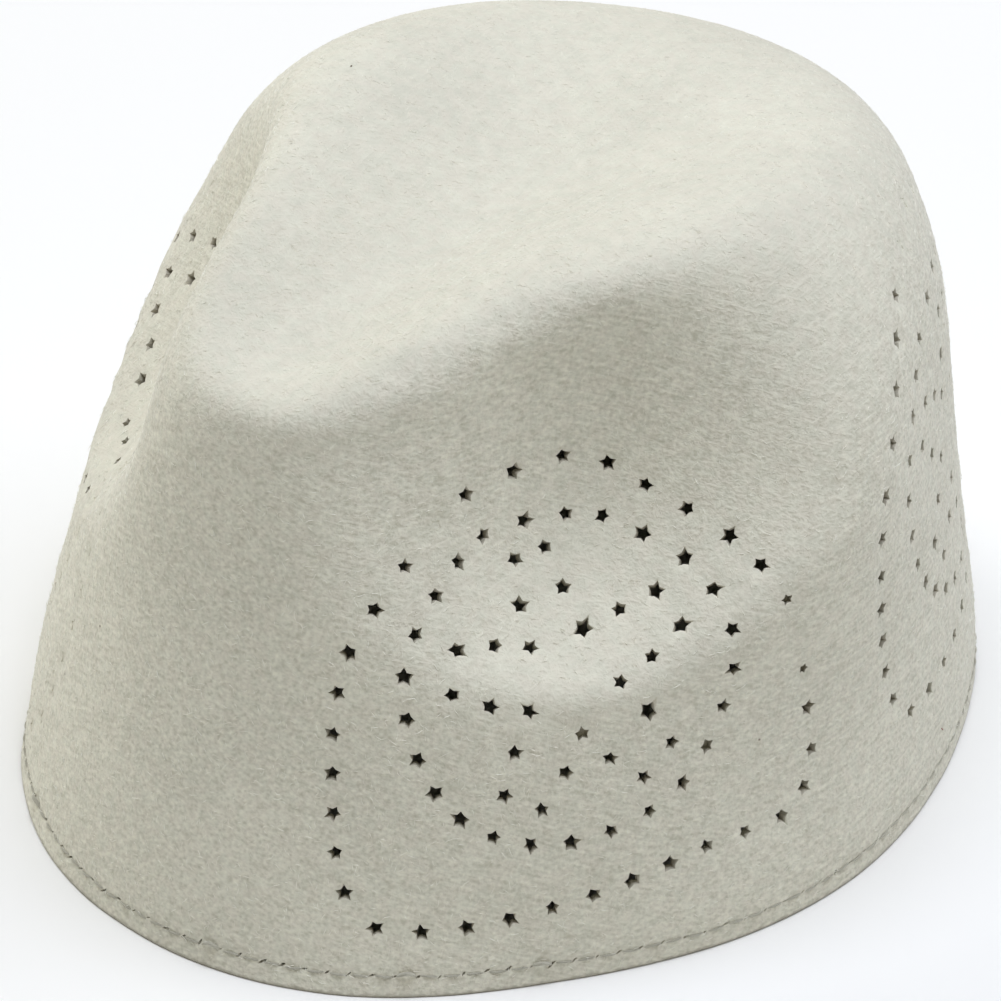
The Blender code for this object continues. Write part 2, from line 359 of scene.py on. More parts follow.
class FeltForm:
    """The outer face of the felt, read at a turn (in columns) and a climb (in rings)."""
    SLOPE_STEP = 0.01
    RIM_SAMPLES = 641
    CLIMB_SAMPLES = 271

    def __init__(self):
        self.cage = self.make_cage()
        self.columns = self.cage.shape[0]
        self.top = self.cage.shape[1] - 3.0
        self.turns = np.linspace(-0.5 * self.columns, 0.5 * self.columns, self.RIM_SAMPLES)
        rim = self.even_points(self.turns, np.zeros(self.RIM_SAMPLES))
        steps = np.linalg.norm(np.diff(rim, axis=0), axis=1)
        lengths = np.concatenate(((0.0,), np.cumsum(steps)))
        self.rim_length = lengths[-1]
        self.alongs = lengths - 0.5 * lengths[-1]
        self.climbs = np.linspace(0.0, self.top, self.CLIMB_SAMPLES)
        spread = np.repeat(self.turns, self.CLIMB_SAMPLES)
        wall = self.even_points(spread, np.tile(self.climbs, self.RIM_SAMPLES))
        wall = wall.reshape(self.RIM_SAMPLES, self.CLIMB_SAMPLES, 3)
        steps = np.linalg.norm(np.diff(wall, axis=1), axis=2)
        self.heights = np.concatenate((np.zeros((self.RIM_SAMPLES, 1)), np.cumsum(steps, axis=1)),
                                      axis=1)
        self.mean_heights = self.heights.mean(axis=0)

    @staticmethod
    def make_cage():
        """Control points of the felt's outer face: columns round, rows from rim to basin."""
        columns = 2 * (len(SECTIONS) - 1)
        smoothing = (2.0 + math.cos(2.0 * math.pi / columns)) / 3.0
        centre = np.array((0.0, BASIN_CENTRE_Y))
        sections = named(SECTION_COLUMNS, SECTIONS)
        cage = []
        for column in range(columns):
            value = sections[min(column, columns - column)]
            rings = [(value["hem_in"], HEM_UP), (value["flank_in"], FLANK_UP),
                     (value["waist_in"], WAIST_UP)]
            rings += [(value[ring + "_in"], value[ring + "_up"])
                      for ring in ("ledge", "dent", "brow", "crest", "basin")]
            turn = 2.0 * math.pi * column / columns
            rim = np.array((RIM_HALF_WIDTH * math.sin(turn), -RIM_HALF_LENGTH * math.cos(turn)))
            rim = rim / smoothing
            inward = (centre - rim) / np.linalg.norm(centre - rim)
            points = [(rim[0], rim[1], 0.0)]
            for inset, height in rings:
                place = rim + inset * inward
                points.append((place[0], place[1], height))
            cage.append(points)
        cage = np.array(cage)
        below = 2.0 * cage[:, 0] - cage[:, 1]
        across = np.roll(cage[:, -1], columns // 2, axis=0)
        middle = np.array((0.0, BASIN_CENTRE_Y, BASIN_CENTRE_UP))
        spread = 0.5 * (cage[:, -1] + across) - cage[:, -1].mean(axis=0)
        centre_row = middle - 0.5 * spread
        rows = (below[:, None], cage, centre_row[:, None], across[:, None])
        return np.concatenate(rows, axis=1)

    def even_points(self, turns, climbs):
        """Points of the even form, in millimetres, one for each pair of turn and climb."""
        round_weights = spline_weights(turns, self.cage.shape[0], closed=True)
        climb_weights = spline_weights(climbs, self.cage.shape[1], closed=False)
        rows = np.einsum("ni,ijk->njk", round_weights, self.cage)
        return np.einsum("njk,nj->nk", rows, climb_weights)

    def normals(self, turns, climbs):
        """Outward directions of the even form."""
        turns = np.asarray(turns, dtype=float)
        climbs = np.minimum(np.asarray(climbs, dtype=float), self.top - 2.0 * self.SLOPE_STEP)
        ahead = climbs + self.SLOPE_STEP
        behind = np.maximum(climbs - self.SLOPE_STEP, 0.0)
        along = (self.even_points(turns + self.SLOPE_STEP, climbs)
                 - self.even_points(turns - self.SLOPE_STEP, climbs))
        upward = self.even_points(turns, ahead) - self.even_points(turns, behind)
        normals = np.cross(along, upward)
        return normals / np.linalg.norm(normals, axis=1, keepdims=True)

    def turn_at(self, along):
        """Turn at a distance along the rim from the front centre."""
        half = 0.5 * self.rim_length
        wrapped = (np.asarray(along, dtype=float) + half) % self.rim_length - half
        return np.interp(wrapped, self.alongs, self.turns)

    def turn_of(self, degrees):
        """Turn at an angle round from the front."""
        return degrees * self.columns / 360.0

    def mean_ups(self, climbs):
        """Distances up the felt at each climb, as they are on average round the cap."""
        return np.interp(climbs, self.climbs, self.mean_heights)

    def mean_climbs(self, ups):
        """Climbs at each distance up the felt, as they are on average round the cap."""
        return np.interp(ups, self.mean_heights, self.climbs)

    def climb_at(self, turns, ups):
        """Climb at a distance up the felt, for each turn."""
        half = 0.5 * self.columns
        wrapped = (np.asarray(turns, dtype=float) + half) % self.columns - half
        place = np.interp(wrapped, self.turns, np.arange(self.RIM_SAMPLES))
        low = np.minimum(place.astype(int), self.RIM_SAMPLES - 2)
        part = place - low
        climbs = np.empty(len(place))
        for index, up in enumerate(ups):
            line = ((1.0 - part[index]) * self.heights[low[index]]
                    + part[index] * self.heights[low[index] + 1])
            climbs[index] = np.interp(up, line, self.climbs)
        return climbs

    def pushed(self, turns, climbs, points):
        """How far the real cap stands out from the even form at each place."""
        out = np.zeros(len(points))
        angles = (np.asarray(turns) * 360.0 / self.columns + 180.0) % 360.0 - 180.0
        ups = self.mean_ups(climbs)
        for push in named(PUSH_COLUMNS, PUSHES):
            away = ((angles - push["angle"]) / push["width"]) ** 2
            away += ((ups - push["up"]) / push["height"]) ** 2
            out += push["out"] * np.exp(-away)
        for size, reach in SWELLINGS:
            spots = points / size
            out += reach * np.array([noise.noise(Vector(spot)) for spot in spots])
        return out

    def surface(self, turns, climbs):
        """Points and outward directions of the real cap's outer face, in millimetres."""
        even = self.even_points(turns, climbs)
        normals = self.normals(turns, climbs)
        points = even + normals * self.pushed(turns, climbs, even)[:, None]
        tilt = np.clip(self.mean_ups(climbs) / EDGE_LEVEL_UP, 0.0, 1.0)
        tilt = tilt * tilt * (3.0 - 2.0 * tilt)
        normals[:, 2] *= tilt
        normals /= np.linalg.norm(normals, axis=1, keepdims=True)
        points[:, 2] = even[:, 2] + tilt * (points[:, 2] - even[:, 2])
        return points, normals


def face_rows(form, start, stretches, depth):
    """Rows of one face, from the rim to the top: place up the felt, depth, divisions."""
    crown = float(form.mean_heights[-1])
    rows = []
    for stretch in named(STRETCH_COLUMNS, stretches):
        end = min(stretch["end"], crown - TIP_GAP)
        count = max(1, round((end - start) / stretch["step"]))
        rows += [(start + (end - start) * index / count, depth, stretch["divided"])
                 for index in range(count)]
        start = end
    return rows + [(crown - TIP_GAP, depth, 0), (crown, depth, 0)]


def profile_rows(form, edge_radius, thickness):
    """Section of the felt from the outer top, round the rim's edge, to the inner top.

    Each row has its place up the felt, its depth below the outer face, and how often its
    ring is divided.
    """
    outer = face_rows(form, edge_radius, OUTER_STRETCHES, 0.0)
    edge = []
    for step in range(1, EDGE_STEPS + 1):
        turn = 0.5 * math.pi * step / EDGE_STEPS
        up = edge_radius * (1.0 - math.sin(turn))
        edge.append((up, edge_radius * (1.0 - math.cos(turn)), EDGE_DIVIDED))
    edge += [(up, thickness - depth, divided) for up, depth, divided in reversed(edge)]
    return outer[::-1] + edge + face_rows(form, edge_radius, INNER_STRETCHES, thickness)


def rolled_grid(rows):
    """A grid of rows by columns, finer round its lower rings, with its places kept."""
    mesh = bmesh.new()
    bmesh.ops.create_grid(mesh, x_segments=TOP_COLUMNS, y_segments=len(rows) - 1, size=0.5)
    column_layer = mesh.verts.layers.float.new("column")
    row_layer = mesh.verts.layers.float.new("row")
    for vert in mesh.verts:
        vert[column_layer] = round((vert.co.x + 0.5) * TOP_COLUMNS)
        vert[row_layer] = round((vert.co.y + 0.5) * (len(rows) - 1))
    divisions = [divided for _, _, divided in rows]
    for division in range(max(divisions)):
        finer = [edge for edge in mesh.edges
                 if edge.verts[0][row_layer] == edge.verts[1][row_layer]
                 and divisions[round(edge.verts[0][row_layer])] > division]
        bmesh.ops.subdivide_edges(mesh, edges=finer, cuts=1, use_single_edge=True)
    return mesh, column_layer, row_layer


def hem_relief(ups, sizes):
    """How far the felt is drawn in along the stitches."""
    return GROOVE_DEPTH * np.exp(-((ups - sizes.stitch_up / MM) / GROOVE_WIDTH) ** 2)


def star_tree(stars):
    """A search tree of the stars' places."""
    tree = KDTree(len(stars))
    for index, star in enumerate(stars):
        tree.insert(star["point"], index)
    tree.balance()
    return tree


def star_pressing(points, stars, lip):
    """How far the felt is pressed in near the stars, at points on the outer face."""
    tree = star_tree(stars)
    pressed = np.zeros(len(points))
    for index, point in enumerate(points):
        away = tree.find(point)[2]
        if away < LIP_REACH:
            pressed[index] = lip * math.exp(-(away / LIP_WIDTH) ** 2)
    return pressed


def felt_shell(form, stars, sizes, star_sizes):
    """Closed mesh of the whole felt, before the stars are cut."""
    thickness = sizes.thickness / MM
    rows = profile_rows(form, sizes.edge_radius / MM, thickness)
    mesh, column_layer, row_layer = rolled_grid(rows)
    columns = np.array([vert[column_layer] for vert in mesh.verts])
    numbers = np.array([round(vert[row_layer]) for vert in mesh.verts])
    ups, depths, _ = np.array(rows)[numbers].T
    turns = form.turn_at(form.rim_length * columns / TOP_COLUMNS)
    points, normals = form.surface(turns, form.mean_climbs(ups))
    outside = np.clip(1.0 - depths / thickness, 0.0, 1.0)
    drawn = hem_relief(ups, sizes) * np.where(outside > 0.5, 1.0, -INSIDE_GROOVE)
    drawn += star_pressing(points, stars, star_sizes.lip / MM) * outside
    points = points - normals * (depths + drawn)[:, None]
    points[ups < TINY, 2] = 0.0
    # Mask of steep felt, where the painted fibre highlight and shade are strongest
    grazing_mask = mesh.verts.layers.float.new(GRAZING_MASK)
    for vert, steepness in zip(mesh.verts, np.interp(normals[:, 2], GRAZING_FACING, (1.0, 0.0))):
        vert[grazing_mask] = steepness
    place_vertices(mesh, points)
    tips = [[vert for vert, number in zip(mesh.verts, numbers) if number == end]
            for end in (0, len(rows) - 1)]
    for tip in tips:
        middle = sum((vert.co for vert in tip), Vector()) / len(tip)
        bmesh.ops.pointmerge(mesh, verts=tip, merge_co=middle)
    bmesh.ops.remove_doubles(mesh, verts=mesh.verts, dist=WELD * MM)
    bmesh.ops.recalc_face_normals(mesh, faces=mesh.faces)
    if mesh.calc_volume(signed=True) < 0.0:
        bmesh.ops.reverse_faces(mesh, faces=mesh.faces)
    mesh.verts.layers.float.remove(column_layer)
    mesh.verts.layers.float.remove(mesh.verts.layers.float["row"])
    return mesh


def ring_places(ring):
    """Places of the stars of a ring, along a closed smooth curve through its key stars."""
    stars = named(RING_COLUMNS, ring)
    keys = np.array([(star["across"], star["upward"]) for star in stars], dtype=float)
    count = len(keys)
    places = []
    for index, star in enumerate(stars):
        before, start, end, after = (keys[(index + step) % count] for step in (-1, 0, 1, 2))
        part = np.linspace(0.0, 1.0, RING_SAMPLES)[:, None]
        curve = 0.5 * (2.0 * start + (end - before) * part
                       + (2.0 * before - 5.0 * start + 4.0 * end - after) * part ** 2
                       + (3.0 * start - before - 3.0 * end + after) * part ** 3)
        steps = np.linalg.norm(np.diff(curve, axis=0), axis=1)
        lengths = np.concatenate(((0.0,), np.cumsum(steps)))
        for step in range(star["stars_on"]):
            at = lengths[-1] * step / star["stars_on"]
            places.append([np.interp(at, lengths, side) for side in curve.T])
    return places


def figure_places(first_arm):
    """Places of the stars of the five-armed figure."""
    places = []
    arms = [math.radians(first_arm + turn) for turn in ARM_TURNS]
    for arm, following in zip(arms, arms[1:] + [arms[0] + 2.0 * math.pi]):
        valley = 0.5 * (arm + following)
        places.append((VALLEY_RADIUS * math.cos(valley), VALLEY_RADIUS * math.sin(valley)))
        for radius, half_width in ((SIDE_RADIUS, SIDE_HALF_WIDTH), (TIP_RADIUS, TIP_HALF_WIDTH)):
            for side in (-half_width, half_width):
                across = radius * math.cos(arm) - side * math.sin(arm)
                upward = radius * math.sin(arm) + side * math.cos(arm)
                places.append((across, upward))
    return places


def place_stars(form, sizes):
    """Every punched star: its point on the felt, direction, outline and depth."""
    chance = np.random.RandomState(SEED)
    stars = []
    odd_stars = named(ODD_STAR_COLUMNS, ODD_STARS)
    for medallion in named(MEDALLION_COLUMNS, MEDALLIONS):
        places = [(across, upward + medallion["outer_lift"])
                  for across, upward in ring_places(OUTER_RING)]
        places += [(across, upward + medallion["second_lift"])
                   for across, upward in ring_places(SECOND_RING)]
        places += figure_places(medallion["first_arm"])
        for across, upward in places:
            size = 1.0
            cut = WHOLE
            for odd in odd_stars:
                near = any(math.dist(place, (across, upward)) < ODD_STAR_REACH
                           for place in odd["places"])
                if near and odd["name"] == medallion["name"]:
                    size = odd["size"]
                    cut = odd["cut"]
            if medallion["mirrored"]:
                across = -across
            stars.append({
                "along": medallion["along_rim"] + across,
                "up": medallion["up_felt"] + upward,
                "tip": sizes.tip / MM * size * chance.uniform(0.90, 1.12),
                "turn": chance.uniform(0.0, 2.0 * math.pi / STAR_POINTS),
                "tips": chance.uniform(0.88, 1.12, STAR_POINTS),
                "notches": sizes.notch * chance.uniform(0.85, 1.15, STAR_POINTS),
                "stretch": chance.uniform(1.0, 1.14),
                "lean": chance.uniform(0.0, math.pi),
                "cut": cut,
            })
    turns = form.turn_at([star["along"] for star in stars])
    climbs = form.climb_at(turns, [star["up"] for star in stars])
    points, normals = form.surface(turns, climbs)
    for star, point, normal in zip(stars, points, normals):
        star["point"] = Vector(point)
        star["normal"] = Vector(normal)
    return stars


def extrude_face(mesh, face, keep=False):
    """Extrude a face and return the new one; the old face stays as a cap only on request."""
    whole = [face, *face.edges, *face.verts]
    made = bmesh.ops.extrude_face_region(mesh, geom=whole, use_keep_orig=keep)
    return next(item for item in made["geom"] if isinstance(item, bmesh.types.BMFace))


def stacked_rings(sides, count):
    """A mesh with one closed prism of radius 1, whose rings lie 1 apart."""
    mesh = bmesh.new()
    bmesh.ops.create_circle(mesh, cap_ends=True, segments=sides, radius=1.0)
    mesh.faces.ensure_lookup_table()
    face = mesh.faces[0]
    for ring in range(1, count):
        face = extrude_face(mesh, face, keep=ring == 1)
        bmesh.ops.translate(mesh, verts=face.verts, vec=UP)
    bmesh.ops.recalc_face_normals(mesh, faces=mesh.faces)
    return mesh


def copies(mesh, count):
    """Copy the one piece in the mesh until there are count, and number their vertices.

    Returns the number of each vertex's piece and its place in that piece.
    """
    layer = mesh.verts.layers.int.new("copy")
    made = 1
    while made < count:
        wanted = min(made, count - made)
        verts = [vert for vert in mesh.verts if vert[layer] < wanted]
        edges = [edge for edge in mesh.edges if edge.verts[0][layer] < wanted]
        faces = [face for face in mesh.faces if face.verts[0][layer] < wanted]
        fresh = bmesh.ops.duplicate(mesh, geom=verts + edges + faces)
        for item in fresh["geom"]:
            if isinstance(item, bmesh.types.BMVert):
                item[layer] += made
        made += wanted
    numbers = np.array([vert[layer] for vert in mesh.verts])
    mesh.verts.layers.int.remove(layer)
    return numbers, np.array([vert.co[:] for vert in mesh.verts])


def place_vertices(mesh, points):
    """Move the mesh's vertices to points given in millimetres."""
    for vert, point in zip(mesh.verts, points):
        vert.co = Vector(point * MM)


def needle_holes(form, sizes):
    """The needle's holes along the stitch row, laid out as the stars are."""
    chance = np.random.RandomState(SEED + 3)
    pitch = form.rim_length / sizes.stitch_count
    count = sizes.stitch_count
    alongs = np.arange(count) * pitch + chance.normal(0.0, NEEDLE_STRAY_ALONG, count)
    ups = sizes.stitch_up / MM + chance.normal(NEEDLE_ABOVE, NEEDLE_STRAY_UP, count)
    points, normals = form.surface(form.turn_at(alongs), form.mean_climbs(ups))
    return [{
        "point": Vector(point),
        "normal": Vector(normal),
        "tip": NEEDLE_RADIUS * chance.uniform(0.7, 1.25),
        "tips": chance.uniform(0.8, 1.3, STAR_POINTS),
        "notches": chance.uniform(0.7, 1.1, STAR_POINTS),
        "turn": chance.uniform(0.0, 2.0 * math.pi),
        "stretch": NEEDLE_STRETCH * chance.uniform(0.7, 1.25),
        "lean": NEEDLE_LEAN + chance.normal(0.0, 0.25),
        "cut": WHOLE,
    } for point, normal in zip(points, normals)]


def level_axes(normals):
    """For each outward direction, the level one across it and the one up the felt."""
    across = np.cross(UP, normals)
    across /= np.maximum(np.linalg.norm(across, axis=1, keepdims=True), TINY)
    return across, np.cross(normals, across)


def star_cutters(stars, levels, mouth):
    """One mesh that holds a star-shaped cutter, with the given levels, for each star.

    From the level called the mouth upward the hole shows the felt's face; below it the wall takes darker
    felt, painted shade inside the hole.
    """
    mesh = stacked_rings(2 * STAR_POINTS, len(levels))
    for face in mesh.faces:
        face.material_index = int(min(vert.co.z for vert in face.verts) < mouth - 0.5)
    numbers, unit = copies(mesh, len(stars))
    level = np.round(unit[:, 2]).astype(int)
    angles = np.arctan2(unit[:, 1], unit[:, 0])
    corner = np.floor(angles / math.pi * STAR_POINTS).astype(int) % (2 * STAR_POINTS)
    radii = np.empty((len(stars), 2 * STAR_POINTS))
    radii[:, 0::2] = [star["tip"] * star["tips"] for star in stars]
    radii[:, 1::2] = [star["tip"] * star["notches"] for star in stars]
    depth, width = np.array(levels).T
    reach = radii[numbers, corner] * width[level]
    turn = angles + np.array([star["turn"] for star in stars])[numbers]
    stretch = np.array([star["stretch"] for star in stars])[numbers]
    lean = np.array([star["lean"] for star in stars])[numbers]
    longways = reach * np.cos(turn - lean) * stretch
    sideways = reach * np.sin(turn - lean) / np.sqrt(stretch)
    normals = np.array([star["normal"] for star in stars])
    across, upward = level_axes(normals)
    points = np.array([star["point"] for star in stars])[numbers]
    right = longways * np.cos(lean) - sideways * np.sin(lean)
    up = longways * np.sin(lean) + sideways * np.cos(lean)
    points = points + across[numbers] * right[:, None] + upward[numbers] * up[:, None]
    cut = np.array([star["cut"] for star in stars])[numbers]
    reached = depth[level] * np.where(depth[level] < 0.0, cut, 1.0)
    points += normals[numbers] * reached[:, None]
    place_vertices(mesh, points)
    return mesh


def new_object(name, mesh, *materials):
    """Turn a bmesh into a named object of the scene, with its materials."""
    data = bpy.data.meshes.new(name)
    mesh.to_mesh(data)
    mesh.free()
    thing = bpy.data.objects.new(name, data)
    bpy.context.scene.collection.objects.link(thing)
    for material in materials:
        data.materials.append(material)
    return thing


def punch(felt, cutters):
    """Cut the stars through the felt and keep the result as the felt's own mesh."""
    cut = felt.modifiers.new("punched_stars", "BOOLEAN")
    cut.operation = "DIFFERENCE"
    cut.solver = "MANIFOLD"
    cut.object = cutters
    bpy.context.view_layer.update()
    graph = bpy.context.evaluated_depsgraph_get()
    punched = bpy.data.meshes.new_from_object(felt.evaluated_get(graph))
    old = felt.data
    felt.modifiers.clear()
    felt.data = punched
    punched.name = "felt_shell"
    bpy.data.meshes.remove(old)
    bpy.data.objects.remove(cutters, do_unlink=True)


# Short fibres: the directions they lie in, as turns about X, Y and Z, how many there are
# to the metre along and across them, and how plainly each line of wool shows
FIBRE_TURNS = ((0.3, 0.2, 0.5), (1.2, 0.7, -0.6), (-0.5, 1.3, 1.1))
FIBRE_ALONG = 190.0
FIBRE_ACROSS = 1350.0
FIBRE_EDGES = (0.42, 0.72)
FIBRE_HEIGHT = 0.65
# Where the strands turn into painted fibre highlight and painted fibre shade
FIBRE_LIGHT = (1.5, 2.0)
FIBRE_SHADE = (1.5, 1.0)
PILE_FINENESS = 1500.0
PILE_HEIGHT = 0.6

# Mottle: fineness of the wool's clouds, clumps and warm patches, and their contrast
CLOUD_FINENESS = 32.0
CLUMP_FINENESS = 260.0
CLOUD_SHARE = 0.45
MOTTLE_CONTRAST = (0.34, 0.66)
WARM_FINENESS = 420.0
WARM_TURN = (0.4, 0.9, 0.2)
WARM_CONTRAST = (0.35, 0.65)

# Painted shade along the rim's underside and cut edge: how far up it goes, in metres, and how ragged it
# ends
EDGE_SHADE_REACH = 0.0009
EDGE_SHADE_FINENESS = 900.0
EDGE_SHADE_FADE = (0.2, 1.0)

# How much of each effect the felt takes, and its bump, in metres
WARM_WOOL = (0.77, 0.70, 0.60)
WARM_SHARE = 0.30
# Fibre streaks painted lighter and darker: partly the fibres' own tone, partly painted highlight and
# shade of grazing light
FIBRE_HIGHLIGHT_GAIN = 1.22
FIBRE_HIGHLIGHT_SHARE = 0.62
FIBRE_SHADE_GAIN = (0.70, 0.69, 0.62)
FIBRE_SHADE_SHARE = 0.57
# How strongly the painted shade along the rim's underside covers the felt
EDGE_SHADE_SHARE = 0.85
# Share of the painted fibre highlight and shade left where the felt faces up
TOP_GRAZING_SHARE = 0.18
CLUMP_HEIGHT = 0.9
FELT_ROUGHNESS = (0.96, 0.86)
FELT_BUMP = 0.7
FELT_BUMP_DEPTH = 0.0002
SPECULAR = 0.18
CROWN_SHEEN = 0.25
SHEEN_ROUGHNESS = 0.55

# Wool other than the crown's own: lighter colour, darker colour and sheen
WOOLS = {
    # Darker felt for the deep walls of the star and needle holes is painted shade
    "hole_shade_felt": ((0.56, 0.54, 0.45), (0.38, 0.36, 0.29), 0.0),
    "loose_wool": ((0.97, 0.96, 0.88), (0.88, 0.87, 0.79), 0.1),
    "red_lint": ((0.42, 0.14, 0.10), (0.30, 0.10, 0.08), 0.0),
    "dark_lint": ((0.22, 0.18, 0.13), (0.15, 0.12, 0.09), 0.0),
}

# Sewing thread: finish, the twist of its strands, how dark the painted shade between them is and the
# fuzz
THREAD_ROUGHNESS = 0.7
THREAD_SHEEN = 0.3
TWIST_FINENESS = 2.2
TWIST_UNEVENNESS = 0.6
THREAD_SHADE = 0.72
THREAD_FUZZ = 0.4
THREAD_BUMP = 0.8
THREAD_BUMP_DEPTH = 0.0001


class GroupMaker:
    """Small helper that adds and joins the nodes of a shader tree."""

    def __init__(self, tree):
        self.tree = tree

    def node(self, kind, values=(), **settings):
        """Add a node with its settings, then the values of its inputs."""
        made = self.tree.nodes.new(kind)
        for name, value in settings.items():
            setattr(made, name, value)
        for name, value in dict(values).items():
            self.feed(value, made.inputs[name])
        return made

    def feed(self, value, socket):
        """Give an input a fixed value, a colour or the output of another node."""
        if hasattr(value, "is_output"):
            self.tree.links.new(value, socket)
        elif socket.type == "RGBA":
            socket.default_value = (*value, 1.0)
        else:
            socket.default_value = value

    def mapping(self, vector, scale=(1.0, 1.0, 1.0), turn=(0.0, 0.0, 0.0)):
        values = {"Vector": vector, "Scale": scale, "Rotation": turn}
        return self.node("ShaderNodeMapping", values).outputs["Vector"]

    def noise(self, vector, fineness, detail=0.0, roughness=0.5):
        values = {"Vector": vector, "Scale": fineness, "Detail": detail, "Roughness": roughness}
        return self.node("ShaderNodeTexNoise", values).outputs["Fac"]

    def spread(self, value, span, onto=(0.0, 1.0)):
        """Stretch a value from one span onto another and hold it within that."""
        values = {"Value": value, "From Min": span[0], "From Max": span[1],
                  "To Min": onto[0], "To Max": onto[1]}
        return self.node("ShaderNodeMapRange", values, clamp=True).outputs["Result"]

    def math(self, operation, first, second):
        made = self.node("ShaderNodeMath", operation=operation)
        self.feed(first, made.inputs[0])
        self.feed(second, made.inputs[1])
        return made.outputs["Value"]

    def times(self, first, second):
        return self.math("MULTIPLY", first, second)

    def plus(self, first, second):
        return self.math("ADD", first, second)

    def mix(self, factor, first, second):
        values = {"Factor": factor, "A": first, "B": second}
        return self.node("ShaderNodeMix", values, data_type="RGBA").outputs["Result"]

    def group(self, tree, vector):
        return self.node("ShaderNodeGroup", {"Vector": vector}, node_tree=tree).outputs

    def bump(self, height, strength, depth):
        values = {"Height": height, "Strength": strength, "Distance": depth}
        return self.node("ShaderNodeBump", values).outputs["Normal"]


def new_group(name, results, reach=None):
    """A shader node group that reads a place and gives named numbers."""
    tree = bpy.data.node_groups.new(name, "ShaderNodeTree")
    tree.interface.new_socket("Vector", in_out="INPUT", socket_type="NodeSocketVector")
    if reach:
        far = tree.interface.new_socket("Reach", in_out="INPUT", socket_type="NodeSocketFloat")
        far.default_value = reach
    for result in results:
        tree.interface.new_socket(result, in_out="OUTPUT", socket_type="NodeSocketFloat")
    maker = GroupMaker(tree)
    return maker, maker.node("NodeGroupInput").outputs, maker.node("NodeGroupOutput").inputs


def fibre_group():
    """Fine short fibres lying every way: tone and shade for the colour, painted as fibre highlight and
    shade, height for the bump.
    """
    maker, source, result = new_group("felt_fibres", ("Tone", "Shade", "Height"))
    lines = None
    crossing = None
    for turn in FIBRE_TURNS:
        lain = maker.mapping(source["Vector"], turn=turn)
        drawn = maker.mapping(lain, scale=(FIBRE_ALONG, FIBRE_ACROSS, FIBRE_ACROSS))
        strand = maker.noise(drawn, 1.0, detail=1.0, roughness=0.45)
        line = maker.spread(strand, FIBRE_EDGES)
        lines = maker.math("MAXIMUM", lines, line) if lines else line
        crossing = maker.plus(crossing, strand) if crossing else strand
    pile = maker.noise(source["Vector"], PILE_FINENESS, detail=1.0, roughness=0.6)
    height = maker.plus(maker.times(lines, FIBRE_HEIGHT), maker.times(pile, PILE_HEIGHT))
    maker.feed(maker.spread(crossing, FIBRE_LIGHT), result["Tone"])
    maker.feed(maker.spread(crossing, FIBRE_SHADE), result["Shade"])
    maker.feed(height, result["Height"])
    return maker.tree


def mottle_group():
    """Cloudy variation of the wool, from broad clouds to small clumps."""
    maker, source, result = new_group("wool_mottle", ("Tone", "Warmth", "Height"))
    clouds = maker.noise(source["Vector"], CLOUD_FINENESS, detail=1.0, roughness=0.55)
    clumps = maker.noise(source["Vector"], CLUMP_FINENESS, detail=2.0, roughness=0.6)
    warmth = maker.noise(maker.mapping(source["Vector"], turn=WARM_TURN), WARM_FINENESS)
    tone = maker.plus(maker.times(clouds, CLOUD_SHARE), maker.times(clumps, 1.0 - CLOUD_SHARE))
    maker.feed(maker.spread(tone, MOTTLE_CONTRAST), result["Tone"])
    maker.feed(maker.spread(warmth, WARM_CONTRAST), result["Warmth"])
    maker.feed(clumps, result["Height"])
    return maker.tree


def edge_shade_group():
    """Mask of painted shade along the cut edge: strong on the rim's underside, gone a little way up."""
    maker, source, result = new_group("rim_edge_shade", ("Mask",), EDGE_SHADE_REACH)
    apart = maker.node("ShaderNodeSeparateXYZ", {"Vector": source["Vector"]})
    ragged = maker.noise(source["Vector"], EDGE_SHADE_FINENESS)
    reach = maker.times(source["Reach"], maker.plus(ragged, 0.5))
    near = maker.math("DIVIDE", apart.outputs["Z"], reach)
    maker.feed(maker.spread(near, EDGE_SHADE_FADE, (1.0, 0.0)), result["Mask"])
    return maker.tree


